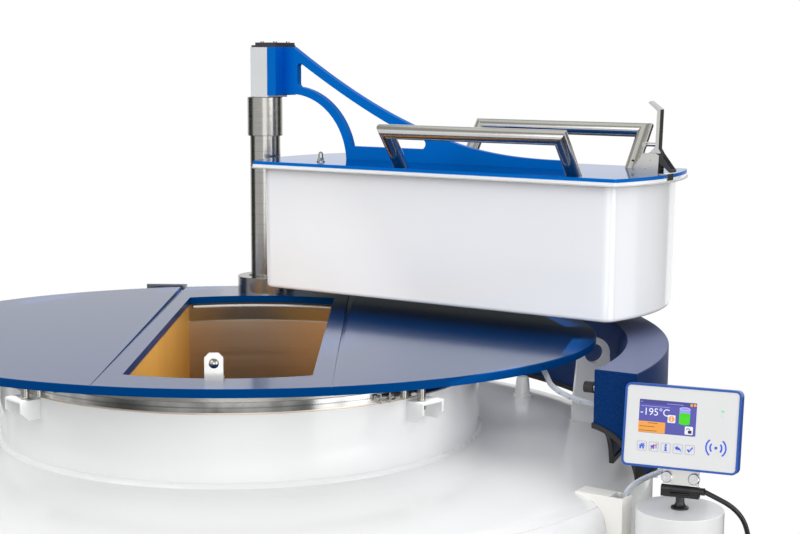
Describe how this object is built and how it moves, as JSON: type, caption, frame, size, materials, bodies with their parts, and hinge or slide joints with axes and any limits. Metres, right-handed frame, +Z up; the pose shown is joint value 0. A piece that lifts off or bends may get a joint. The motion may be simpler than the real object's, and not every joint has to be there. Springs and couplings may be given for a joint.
{
  "type": "cryogenic storage tank",
  "caption": "Liquid nitrogen storage tank with a slot-shaped mouth, an insulated lid on a lifting and swinging column, a pipework hood and a tilting display.",
  "frame": {"origin": "on the floor, on the axis of the round vessel", "axes": "+Z up along the vessel's axis, the front faces -Y, +X to the right"},
  "size_m": [1.6128, 1.5554, 1.725],
  "materials": {
    "white_paint": "gloss white enamel",
    "blue_anodised": "bright blue anodised",
    "cover_finish": "blue edges, satin top",
    "hood_finish": "blue, fine speckle",
    "brushed_stainless": "brushed",
    "bright_steel": "polished",
    "dark_metal": "satin dark grey",
    "amber_foam": "smooth coated foam",
    "white_plastic": "smooth white laminate",
    "grey_seal": "soft silicone",
    "dark_seal": "dark brown rubber",
    "black_rubber": "matt black",
    "cream_plastic": "satin cream",
    "clear_hose": "clear flexible tube",
    "display_frame": "satin blue",
    "display_face": "gloss white with printed icons",
    "screen_face": "lit screen"
  },
  "bodies": {
    "tank": {"base_plinth": "white_paint", "outer_vessel": "white_paint", "inner_vessel": "brushed_stainless", "vacuum_spacer": "white_plastic", "neck_rim": "brushed_stainless", "neck_band": "bright_steel", "band_bolt": "bright_steel", "insulation_left": "amber_foam", "insulation_right": "amber_foam", "cover_seal": "dark_seal", "cover_plate": "cover_finish", "drip_gutters": "brushed_stainless", "cover_brackets": "white_paint", "cover_posts": "brushed_stainless", "latch_striker": "brushed_stainless", "striker_bolt": "bright_steel", "column_socket": "white_paint", "column_flange": "brushed_stainless", "guide_bush": "dark_metal", "gas_spring_body": "dark_metal", "hood": "hood_finish", "hood_edging": "black_rubber", "hood_brackets": "white_paint", "lifting_lugs": "white_paint", "vacuum_port": "white_paint", "vent_stub_cap": "black_rubber", "level_hose": "clear_hose", "drain_hose": "clear_hose", "hose_fittings": "bright_steel", "cable_duct": "cream_plastic", "service_column": "white_paint", "column_straps": "white_paint", "display_stand": "brushed_stainless", "display_cable": "black_rubber", "cable_glands": "black_rubber", "carousel_pivot": "brushed_stainless"},
    "column": {"lift_tube": "brushed_stainless", "gas_spring_rod": "bright_steel"},
    "lid": {"column_sleeve": "brushed_stainless", "head_block": "brushed_stainless", "arm_plate": "blue_anodised", "column_cap": "dark_metal", "head_screws": "bright_steel", "lid_plate": "blue_anodised", "lid_layer": "white_plastic", "lid_seal": "grey_seal", "lid_plug": "white_plastic", "front_handle": "brushed_stainless", "rear_handle": "brushed_stainless", "vent_bolt": "bright_steel", "latch_base": "brushed_stainless", "edge_plate": "brushed_stainless"},
    "latch_lever_body": {"latch_lever": "brushed_stainless"},
    "latch_hook_body": {"latch_hook": "dark_metal"},
    "display": {"display_hinge": "brushed_stainless", "thumb_screws": "bright_steel", "display_housing": "display_frame", "display_glass": "display_face", "display_screen": "screen_face"},
    "carousel": {"rack_carousel": "brushed_stainless"}
  },
  "joints": [
    {"name": "lid_lift", "type": "slide", "parent": "tank", "child": "column", "axis": [0, 0, 1], "range_m": [-0.025, 0]},
    {"name": "lid_swing", "type": "hinge", "parent": "column", "child": "lid", "pos_m": [-0.052, 0.53, 1.6], "axis": [0, 0, 1], "range_deg": [-57.33, 35]},
    {"name": "latch_turn", "type": "hinge", "parent": "lid", "child": "latch_lever_body", "pos_m": [0.75444, 0.01287, 1.495], "axis": [0.5398, 0.8418, 0], "range_deg": [-75, 0]},
    {"name": "hook_turn", "type": "hinge", "parent": "latch_lever_body", "child": "latch_hook_body", "pos_m": [0.76707, 0.00477, 1.502], "axis": [0.5398, 0.8418, 0], "range_deg": [-60, 0]},
    {"name": "display_tilt", "type": "hinge", "parent": "tank", "child": "display", "pos_m": [0.7324, -0.496, 0.9732], "axis": [0.9336, -0.3584, 0], "range_deg": [-4, 30]},
    {"name": "carousel_spin", "type": "hinge", "parent": "tank", "child": "carousel", "pos_m": [0, 0, 0.15], "axis": [0, 0, 1], "continuous": true}
  ]
}
